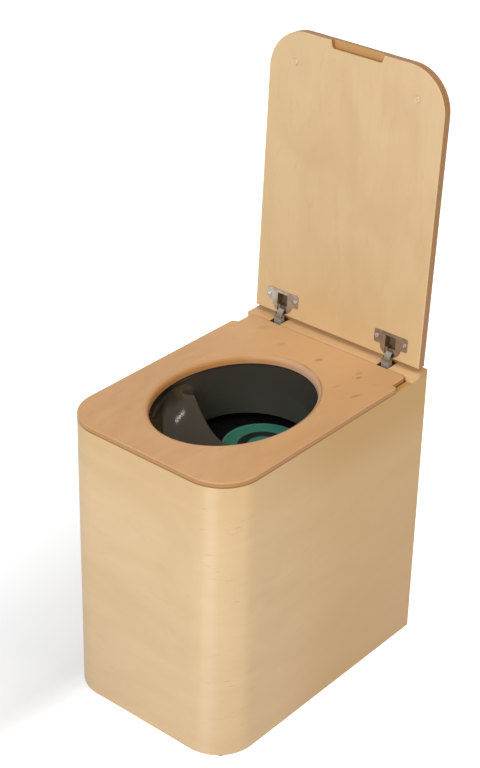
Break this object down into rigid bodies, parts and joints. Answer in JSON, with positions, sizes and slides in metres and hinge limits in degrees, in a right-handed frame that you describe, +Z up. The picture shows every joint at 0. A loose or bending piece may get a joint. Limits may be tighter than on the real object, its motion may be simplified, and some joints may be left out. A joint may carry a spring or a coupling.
{
  "type": "dry toilet",
  "caption": "Free-standing dry toilet: bent plywood casing, lift-off oval seat over a separating insert, removable containers, and a lid on cup hinges shown open.",
  "frame": {"origin": "on the floor under the middle of the whole object's box, with the lid open", "axes": "+Z up, -Y the way the sitter faces (the front), +X to the right when looking at the front"},
  "size_m": [0.3, 0.4454, 0.8858],
  "materials": {
    "casing_birch": "clear satin lacquer on birch plywood, grain level round the bend",
    "panel_birch": "clear satin lacquer on birch plywood",
    "rail_birch": "clear satin lacquer on birch plywood",
    "seat_wood": "clear satin lacquer on reddish plywood",
    "lid_birch": "clear satin lacquer on birch plywood, brown edge",
    "insert_plastic": "smooth moulded dark grey",
    "bucket_plastic": "moulded black",
    "label_paper": "printed green label with a plain dark ring",
    "canister_plastic": "natural blow-moulded plastic",
    "hinge_nickel": "nickel-plated pressed steel",
    "pin_steel": "plain steel pin",
    "screw_steel": "plated wood screw",
    "bumper_clear": "clear soft bumper",
    "glide_rubber": "dark glide"
  },
  "bodies": {
    "casing": {"casing_shell": "casing_birch", "rear_panel": "panel_birch", "base_panel": "panel_birch", "hinge_rail": "rail_birch", "glides": "glide_rubber", "plate_screws": "screw_steel", "arm_screws": "screw_steel", "hinge_plate_left": "hinge_nickel", "hinge_plate_right": "hinge_nickel", "hinge_arm_left": "hinge_nickel", "hinge_arm_right": "hinge_nickel", "arm_pin_left": "pin_steel", "arm_pin_right": "pin_steel"},
    "links": {"hinge_link_left": "hinge_nickel", "hinge_link_right": "hinge_nickel", "cup_pin_left": "pin_steel", "cup_pin_right": "pin_steel"},
    "lid": {"lid_board": "lid_birch", "cup_screws": "screw_steel", "hinge_cup_left": "hinge_nickel", "hinge_cup_right": "hinge_nickel", "lid_bumper_left": "bumper_clear", "lid_bumper_right": "bumper_clear"},
    "seat": {"seat_board": "seat_wood", "urine_diverter": "insert_plastic", "diverter_screws": "screw_steel"},
    "canister": {"urine_canister": "canister_plastic"},
    "bucket": {"solids_bucket": "bucket_plastic"},
    "bucket_cover": {"bucket_lid": "bucket_plastic", "bucket_label": "label_paper"}
  },
  "joints": [
    {"name": "lid_swing", "type": "hinge", "parent": "casing", "child": "lid", "pos_m": [0, 0.20001, 0.46404], "axis": [1, 0, 0], "range_deg": [0, 92.56]},
    {"name": "link_swing", "type": "hinge", "parent": "casing", "child": "links", "pos_m": [0, 0.18226, 0.458], "axis": [1, 0, 0], "range_deg": [-37.6, 0]},
    {"name": "seat_lift", "type": "slide", "parent": "casing", "child": "seat", "axis": [0, 0, 1], "range_m": [0, 0.94]},
    {"name": "canister_lift", "type": "slide", "parent": "casing", "child": "canister", "axis": [0, 0, 1], "range_m": [0, 0.47]},
    {"name": "bucket_lift", "type": "slide", "parent": "casing", "child": "bucket", "axis": [0, 0, 1], "range_m": [0, 0.47]},
    {"name": "cover_lift", "type": "slide", "parent": "bucket", "child": "bucket_cover", "axis": [0, 0, 1], "range_m": [0, 0.141]}
  ],
  "couplings": [
    {"joint": "link_swing", "follows": "lid_swing", "ratio": -0.40608},
    {"joint": "canister_lift", "follows": "seat_lift", "ratio": 0.5},
    {"joint": "bucket_lift", "follows": "seat_lift", "ratio": 0.5},
    {"joint": "cover_lift", "follows": "seat_lift", "ratio": 0.15}
  ]
}
